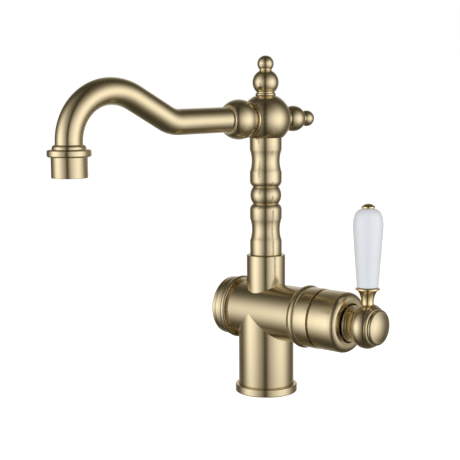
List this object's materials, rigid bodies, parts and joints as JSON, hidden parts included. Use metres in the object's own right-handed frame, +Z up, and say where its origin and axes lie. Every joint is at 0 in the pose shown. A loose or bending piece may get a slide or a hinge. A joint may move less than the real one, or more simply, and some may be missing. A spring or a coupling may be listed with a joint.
{
  "type": "high-rise basin mixer tap",
  "caption": "Traditional high-rise basin mixer tap in brass with a swan-neck swivel spout, turned column with ball finials, side barrel and a white porcelain lever.",
  "frame": {"origin": "centre of the base on the deck, on the column axis", "axes": "+Z up along the column, +X along the barrel towards the lever, spout towards -Y swung 10.5 degrees away from the lever"},
  "size_m": [0.1744, 0.2588, 0.2917],
  "materials": {
    "satin_brass": "satin, brushed",
    "polished_brass": "polished",
    "raw_brass": "machined",
    "porcelain": "gloss glaze",
    "disc_ceramic": "lapped",
    "seal_rubber": "matte",
    "white_plastic": "moulded",
    "dark_plastic": "moulded",
    "stainless_steel": "turned"
  },
  "bodies": {
    "valve_body": {"stem": "satin_brass", "body_casting": "satin_brass", "neck": "satin_brass", "base_ring": "satin_brass", "base_seal": "seal_rubber", "rear_end_cap": "satin_brass", "rear_cap_seal": "seal_rubber", "neck_bush_lower": "white_plastic", "neck_bush_upper": "white_plastic", "swivel_retaining_screw": "stainless_steel", "cartridge_base": "dark_plastic", "cartridge_seals": "seal_rubber", "fixed_ceramic_disc": "disc_ceramic", "cartridge_housing": "dark_plastic", "cartridge_nut": "raw_brass", "handle_cover": "satin_brass", "cover_front_ring": "satin_brass"},
    "spout": {"spout_column": "satin_brass", "swivel_seals": "seal_rubber", "spout_hub": "satin_brass", "top_finial": "satin_brass", "rear_finial": "satin_brass", "spout_collar": "satin_brass", "spout_tube": "satin_brass", "nozzle": "satin_brass", "aerator_insert": "white_plastic", "aerator_screen": "stainless_steel", "aerator_filter": "white_plastic", "aerator_gasket": "seal_rubber"},
    "mixing_rotor": {"cartridge_rotor": "dark_plastic", "pivot_pin": "stainless_steel"},
    "sliding_disc": {"moving_ceramic_disc": "disc_ceramic", "disc_carrier": "dark_plastic"},
    "lever": {"cartridge_stem": "stainless_steel", "knob_neck": "satin_brass", "handle_knob": "satin_brass", "knob_cap": "satin_brass", "knob_screw": "stainless_steel", "lever_rod": "stainless_steel", "lever_ferrule": "polished_brass", "lever_washer_lower": "white_plastic", "lever_washer_upper": "white_plastic", "porcelain_lever": "porcelain", "lever_cap": "polished_brass"}
  },
  "joints": [
    {"name": "spout_swivel", "type": "hinge", "parent": "valve_body", "child": "spout", "pos_m": [0, 0, 0.1209], "axis": [0, 0, 1], "continuous": true},
    {"name": "handle_turn", "type": "hinge", "parent": "valve_body", "child": "mixing_rotor", "pos_m": [0.088, 0, 0.0717], "axis": [1, 0, 0], "range_deg": [-45, 45]},
    {"name": "lever_tilt", "type": "hinge", "parent": "mixing_rotor", "child": "lever", "pos_m": [0.088, 0, 0.0717], "axis": [0, 1, 0], "range_deg": [0, 20]},
    {"name": "disc_slide", "type": "slide", "parent": "mixing_rotor", "child": "sliding_disc", "axis": [0, 0, 1], "range_m": [0, 0.0049]}
  ],
  "couplings": [
    {"joint": "disc_slide", "follows": "lever_tilt", "m_per_rad": 0.014}
  ]
}
